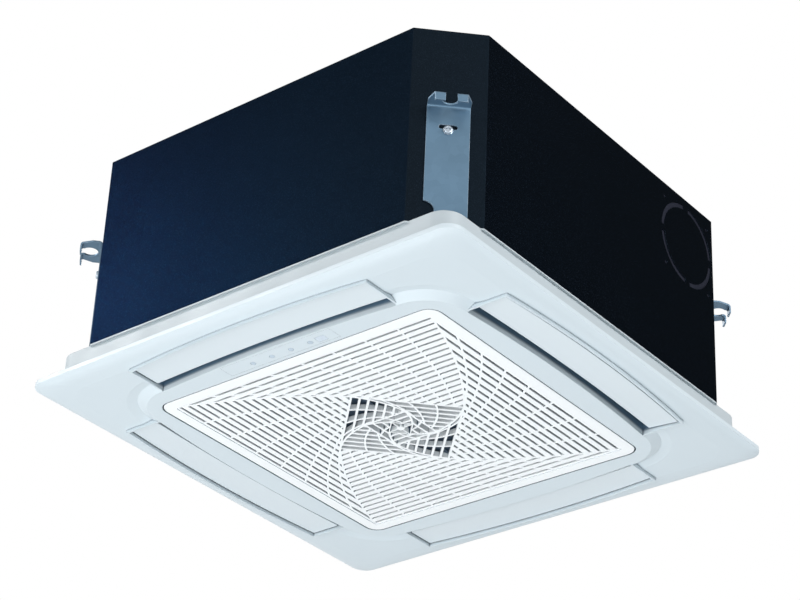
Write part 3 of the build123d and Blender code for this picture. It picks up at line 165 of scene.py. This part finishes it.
def relief(tree, soft_edge, layers):
    """Normal with rounded edges and the bumps of each layer, or None without either."""
    normal = None
    if soft_edge:
        rounded = tree.nodes.new("ShaderNodeBevel")
        rounded.samples = bevel_samples
        rounded.inputs["Radius"].default_value = soft_edge
        normal = rounded.outputs["Normal"]
    for scale, strength, distance, *stretch in layers:
        bump = tree.nodes.new("ShaderNodeBump")
        bump.inputs["Strength"].default_value = strength
        bump.inputs["Distance"].default_value = distance
        link(tree, noise(tree, scale, stretch=stretch[0] if stretch else None), bump.inputs["Height"])
        if normal:
            link(tree, normal, bump.inputs["Normal"])
        normal = bump.outputs["Normal"]
    return normal


def finish_material(name, base, rough, metal=0.0, specular=0.5, tint=(1.0, 1.0, 1.0), coat=0.0,
                    rough_spread=0.06, mottle=(0.04, 9.0), cells=None, specks=None, wear=None,
                    gap_shade=None, grain=None, streaks=None, soft_edge=0.0):
    """Finish in real scale, built up from the layers above.

    mottle, cells, specks, wear and gap_shade (painted shade in gaps) hold the last arguments of their
    layer's function.
    grain and streaks are bumps: scale, strength, distance and, for streaks, a stretch.
    """
    mat = bpy.data.materials.new(name)
    mat.use_nodes = True
    mat.diffuse_color = (*base, 1.0)
    tree = mat.node_tree
    shader = tree.nodes["Principled BSDF"]
    shader.inputs["Metallic"].default_value = metal
    shader.inputs["Specular IOR Level"].default_value = specular
    shader.inputs["Specular Tint"].default_value = (*tint, 1.0)
    shader.inputs["Coat Weight"].default_value = coat

    colour = add_mottle(tree, base, *mottle)
    if cells:
        colour = add_cells(tree, colour, base, *cells)
    if specks:
        colour = add_specks(tree, colour, base, *specks)
    if wear:
        colour = add_wear(tree, colour, *wear)
    if gap_shade:
        colour = add_gap_shade(tree, colour, *gap_shade)
    link(tree, colour, shader.inputs["Base Color"])

    spread = (max(0.03, rough - rough_spread), min(1.0, rough + rough_spread))
    link(tree, remap(tree, noise(tree, gloss_scale), noise_span, spread), shader.inputs["Roughness"])
    normal = relief(tree, soft_edge, [layer for layer in (grain, streaks) if layer])
    if normal:
        link(tree, normal, shader.inputs["Normal"])
    return mat


# ---------------------------------------------------------------- moulded plastics
# gap_shade on these plastics is painted shade: a dark blue tone in their narrow seams and gaps
panel_white = finish_material(
    "panel_white", (0.64, 0.72, 0.765), 0.42, mottle=(0.012, 3.0), grain=(1400, 0.10, 0.0002),
    gap_shade=(0.004, (0.020, 0.048, 0.085)), soft_edge=0.0007)
vane_white = finish_material(
    "vane_white", (0.68, 0.75, 0.79), 0.38, mottle=(0.012, 4.0), grain=(1400, 0.08, 0.0002),
    gap_shade=(0.004, (0.016, 0.040, 0.075)), soft_edge=0.0005)
grille_white = finish_material(
    "grille_white", (0.92, 0.95, 0.965), 0.45, mottle=(0.012, 6.0), grain=(1600, 0.08, 0.0002),
    gap_shade=(0.003, (0.10, 0.18, 0.26)), soft_edge=0.0003)
base_plastic = finish_material(
    "base_plastic", (0.54, 0.60, 0.63), 0.5, mottle=(0.03, 5.0), grain=(1200, 0.12, 0.0003),
    soft_edge=0.0008)
fan_plastic = finish_material(
    "fan_plastic", (0.022, 0.025, 0.03), 0.5, mottle=(0.12, 9.0), grain=(900, 0.12, 0.0003),
    soft_edge=0.0006)
filter_plastic = finish_material(
    "filter_plastic", (0.040, 0.065, 0.100), 0.6, mottle=(0.08, 10.0), grain=(900, 0.15, 0.0003))
pump_white = finish_material(
    "pump_white", (0.66, 0.67, 0.64), 0.45, mottle=(0.03, 12.0), grain=(900, 0.12, 0.0003),
    soft_edge=0.0005)
hose_grey = finish_material(
    "hose_grey", (0.16, 0.17, 0.18), 0.6, mottle=(0.06, 20.0), grain=(600, 0.15, 0.0004))
lamp_lens = finish_material(
    "lens_clear", (0.50, 0.60, 0.70), 0.22, coat=0.4, mottle=(0.06, 300.0), grain=(900, 0.05, 0.0002),
    soft_edge=0.0004)
window_pale = finish_material(
    "window_pale", (0.60, 0.69, 0.78), 0.16, coat=0.5, mottle=(0.05, 200.0), grain=(900, 0.03, 0.0002),
    soft_edge=0.0004)

# ---------------------------------------------------------------- painted and bare metals
powder_coat = finish_material(
    "powder_coat", (0.0074, 0.0122, 0.0180), 0.32, metal=0.8, specular=0.01, tint=(0.05, 0.08, 0.12),
    rough_spread=0.01, mottle=(0.08, 2.5), specks=(1300, 0.5, (0.030, 0.046, 0.070)),
    wear=(0.35, (0.03, 0.045, 0.07)), grain=(1400, 0.12, 0.0003), soft_edge=0.0006)
galvanised = finish_material(
    "galvanised", (0.10, 0.18, 0.26), 0.38, metal=0.5, mottle=(0.04, 20.0), cells=(110.0, 0.12),
    wear=(0.5, (0.66, 0.76, 0.86)), grain=(420, 0.10, 0.0004),
    streaks=(60, 0.08, 0.0004, (1.0, 1.0, 0.06)), soft_edge=0.0004)
zinc = finish_material(
    "zinc_screw", (0.42, 0.48, 0.54), 0.3, metal=1.0, mottle=(0.12, 60.0),
    wear=(0.3, (0.8, 0.82, 0.85)), grain=(900, 0.1, 0.0002), soft_edge=0.0003)
fins = finish_material(
    "fins", (0.62, 0.66, 0.70), 0.36, metal=0.9, mottle=(0.06, 12.0), grain=(80, 0.05, 0.0005))
copper = finish_material(
    "copper_tube", (0.62, 0.27, 0.15), 0.32, metal=1.0, mottle=(0.18, 30.0),
    wear=(0.2, (0.85, 0.5, 0.32)), grain=(300, 0.08, 0.0004))
brass = finish_material(
    "brass_fitting", (0.66, 0.49, 0.20), 0.28, metal=1.0, mottle=(0.10, 40.0), grain=(700, 0.06, 0.0002),
    streaks=(900, 0.12, 0.0002, (1.0, 0.1, 0.1)), soft_edge=0.0004)
motor_paint = finish_material(
    "motor_can", (0.016, 0.017, 0.019), 0.4, mottle=(0.10, 14.0), wear=(0.3, (0.3, 0.3, 0.3)),
    grain=(500, 0.2, 0.0004), soft_edge=0.0006)
steel = finish_material(
    "steel_shaft", (0.52, 0.53, 0.55), 0.25, metal=1.0, mottle=(0.05, 40.0),
    streaks=(800, 0.1, 0.0002, (0.1, 1.0, 1.0)), soft_edge=0.0003)

# ---------------------------------------------------------------- foam, rubber and board
foam_white = finish_material(
    "foam_white", (0.80, 0.81, 0.80), 0.85, specular=0.2, mottle=(0.04, 40.0), cells=(330.0, 0.12),
    grain=(420, 0.5, 0.0015))
foam_black = finish_material(
    "foam_black", (0.012, 0.014, 0.024), 0.92, specular=0.15, mottle=(0.15, 25.0),
    grain=(700, 0.5, 0.001))
rubber = finish_material(
    "rubber_black", (0.013, 0.013, 0.014), 0.75, specular=0.3, mottle=(0.15, 30.0),
    grain=(800, 0.2, 0.0004), soft_edge=0.0004)
board_green = finish_material(
    "circuit_board", (0.012, 0.075, 0.035), 0.35, mottle=(0.15, 90.0), cells=(260.0, 0.15),
    grain=(500, 0.1, 0.0003))


def woven_net(name, base, pitch):
    """Net with real gaps: two crossed waves cut the alpha."""
    mat = finish_material(name, base, 0.7, specular=0.2, mottle=(0.1, 30.0), grain=(900, 0.2, 0.0004))
    tree = mat.node_tree
    wave_length_factor = 0.314  # a wave texture of scale 1 repeats every 0.314 m
    strand_edge = 0.72  # the wave's height from which a strand is solid
    strands = []
    for direction in ("X", "Y"):
        wave = tree.nodes.new("ShaderNodeTexWave")
        wave.bands_direction = direction
        wave.inputs["Scale"].default_value = wave_length_factor / pitch
        link(tree, place_in_part(tree), wave.inputs["Vector"])
        strands.append(maths(tree, "GREATER_THAN", wave.outputs["Fac"], strand_edge))
    solid = maths(tree, "MAXIMUM", *strands)
    link(tree, solid, tree.nodes["Principled BSDF"].inputs["Alpha"])
    return mat


filter_net = woven_net("filter_net", (0.045, 0.075, 0.115), net_pitch)


def paint_outlet_wall_shade(mat, half, wall_shade_colour):
    """Painted shade: colour the upright walls above the vanes that lie within half of the middle with a
    shade colour, rising from the vanes' level.
    """
    steep = 0.3  # a wall's normal rises or falls less than this
    tree = mat.node_tree
    shader = tree.nodes["Principled BSDF"]
    painted = shader.inputs["Base Color"].links[0].from_socket
    place = split_axes(tree, place_in_part(tree))
    geometry = tree.nodes.new("ShaderNodeNewGeometry")
    facing = split_axes(tree, geometry.outputs["True Normal"])
    factor = remap(tree, place["Z"], (vane_level, wall_shade_level), (0.0, 1.0))
    for source, limit in ((place["X"], half), (place["Y"], half), (facing["Z"], steep)):
        inside = maths(tree, "LESS_THAN", maths(tree, "ABSOLUTE", source), limit)
        factor = maths(tree, "MULTIPLY", factor, inside)
    shaded = blend_colours(tree, factor, painted, wall_shade_colour)
    link(tree, shaded, shader.inputs["Base Color"])


# painted shade on the outlets' walls: dark inside the outlets, a lighter blue-grey shade on the inner
# walls seen through the vanes' slits
paint_outlet_wall_shade(panel_white, outlet_half, (0.014, 0.040, 0.080))
paint_outlet_wall_shade(panel_white, slit_wall_half, (0.14, 0.25, 0.37))

# ---------------------------------------------------------------- what wears which finish
finishes = {
    panel_white: ["panel_frame", "display_plate", "grille_latches"],
    vane_white: ["vane_front", "vane_right", "vane_back", "vane_left"],
    grille_white: ["intake_grille"],
    base_plastic: ["base_frame"],
    powder_coat: ["casing", "top_plate"],
    galvanised: ["hanger_brackets", "pipe_plate", "coil_end_plates", "control_box", "control_cover",
                 "pump_bracket"],
    zinc: ["hanger_screws", "case_screws", "mouth_screws", "panel_screws", "pipe_plate_screws", "fan_nut",
           "motor_studs"],
    foam_white: ["drain_pan"],
    foam_black: ["side_liner", "top_liner", "panel_seal"],
    fins: ["coil_fins"],
    copper: ["coil_bends", "gas_pipe", "liquid_pipe"],
    brass: ["gas_union", "liquid_union"],
    fan_plastic: ["turbo_fan", "bell_mouth"],
    motor_paint: ["fan_motor"],
    rubber: ["motor_bushes", "cable_grommet"],
    filter_plastic: ["air_filter_frame"],
    filter_net: ["air_filter_mesh"],
    pump_white: ["drain_pump", "drain_spigot", "float_ring", "float_switch", "vane_bushes", "vane_motors",
                 "terminal_block"],
    hose_grey: ["drain_hose"],
    steel: ["fan_shaft", "fan_boss", "grille_pins", "vane_front_shaft", "vane_right_shaft",
            "vane_back_shaft", "vane_left_shaft"],
    board_green: ["control_board", "display_board"],
    lamp_lens: ["indicator_lenses"],
    window_pale: ["receiver_window"],
}
for mat, names in finishes.items():
    for name in names:
        mesh = nodes[name].data
        mesh.materials.clear()
        mesh.materials.append(mat)
        mesh.set_sharp_from_angle(angle=smooth_angle)
        mesh.polygons.foreach_set("use_smooth", [True] * len(mesh.polygons))

# ---------------------------------------------------------------- camera, looking up at the panel
azimuth, elevation, roll = math.radians(39.596), math.radians(-30.894), math.radians(2.688)
camera_place = (1.5765, -1.9188, -1.5124)
focal_length, sensor_width = 107.15, 36.0  # mm

back = Vector((math.sin(azimuth) * math.cos(elevation),
               -math.cos(azimuth) * math.cos(elevation),
               math.sin(elevation)))
right = back.cross(Vector((0, 0, -1))).normalized()
up = back.cross(right)
right_rolled = math.cos(roll) * right + math.sin(roll) * up
up_rolled = -math.sin(roll) * right + math.cos(roll) * up
camera_turn = Matrix((right_rolled, up_rolled, back)).transposed()

camera_data = bpy.data.cameras.new("camera")
camera_data.lens = focal_length
camera_data.sensor_width = sensor_width
camera_data.clip_end = 50.0
camera = bpy.data.objects.new("camera", camera_data)
bpy.context.scene.collection.objects.link(camera)
camera.matrix_world = Matrix.Translation(camera_place) @ camera_turn.to_4x4()
bpy.context.scene.camera = camera


# ---------------------------------------------------------------- floor
def pale_floor(half, level, glow):
    """Floor far below the hanging unit, so that it cuts off no view from below."""
    mesh = bpy.data.meshes.new("floor")
    corners = [(-half, -half, 0), (half, -half, 0), (half, half, 0), (-half, half, 0)]
    mesh.from_pydata(corners, [], [(0, 1, 2, 3)])
    obj = bpy.data.objects.new("floor", mesh)
    obj.location = (0, 0, level)
    bpy.context.scene.collection.objects.link(obj)

    mat = finish_material("floor", (0.82, 0.84, 0.86), 0.8, specular=0.2, mottle=(0.01, 0.6),
                          grain=(60, 0.05, 0.002))
    tree = mat.node_tree
    shader = tree.nodes["Principled BSDF"]
    shader.inputs["Emission Color"].default_value = (1.0, 1.0, 1.0, 1.0)
    link(tree, maths(tree, "MULTIPLY", seen_directly(tree), glow), shader.inputs["Emission Strength"])
    mesh.materials.append(mat)
    return obj


floor = pale_floor(half=22.0, level=-6.0, glow=0.80)


# ---------------------------------------------------------------- lights
def softbox(name, place, aim, size, power, colour):
    """Rectangular lamp that lights the part and stays out of the picture."""
    light = bpy.data.lights.new(name, "AREA")
    light.shape = "RECTANGLE"
    light.size, light.size_y = size
    light.energy = power
    light.color = colour
    obj = bpy.data.objects.new(name, light)
    obj.location = place
    obj.rotation_euler = (Vector(aim) - Vector(place)).to_track_quat("-Z", "Y").to_euler()
    obj.visible_camera = False
    bpy.context.scene.collection.objects.link(obj)


softbox("key", (-3.0, -2.5, 1.8), (0, 0, 0), (0.9, 0.8), 78, (0.98, 0.99, 1.0))
softbox("under", (0.2, -0.6, -2.35), (0, 0, -0.2), (3.4, 3.4), 62, (0.97, 0.99, 1.0))
softbox("front", (-0.9, -3.4, -1.5), (0, 0, -0.2), (2.2, 1.4), 50, (1.0, 1.0, 1.0))
softbox("fill", (3.4, -0.5, 0.7), (0, 0, -0.15), (1.8, 1.4), 86, (0.98, 0.99, 1.0))
softbox("rim", (-2.5, 1.5, 2.4), (0, 0, 0), (2.0, 1.0), 40, (0.95, 0.98, 1.0))


# ---------------------------------------------------------------- surroundings
def studio_world():
    """Cool light, stronger from low down than from overhead, before a white background."""
    world = bpy.data.worlds.new("studio")
    world.use_nodes = True
    tree = world.node_tree
    surround = tree.nodes["Background"]
    surround.inputs["Color"].default_value = (0.93, 0.97, 1.0, 1.0)
    direction = tree.nodes.new("ShaderNodeTexCoord").outputs["Generated"]
    height = split_axes(tree, direction)["Z"]
    link(tree, remap(tree, height, (-0.1, 0.35), (0.60, 0.12)), surround.inputs["Strength"])
    white = tree.nodes.new("ShaderNodeBackground")
    white.inputs["Color"].default_value = (1.0, 1.0, 1.0, 1.0)
    white.inputs["Strength"].default_value = 1.0
    pick = tree.nodes.new("ShaderNodeMixShader")
    link(tree, seen_directly(tree), pick.inputs[0])
    link(tree, surround.outputs[0], pick.inputs[1])
    link(tree, white.outputs[0], pick.inputs[2])
    link(tree, pick.outputs[0], tree.nodes["World Output"].inputs["Surface"])
    return world


bpy.context.scene.world = studio_world()
bpy.context.scene.view_settings.view_transform = "Standard"
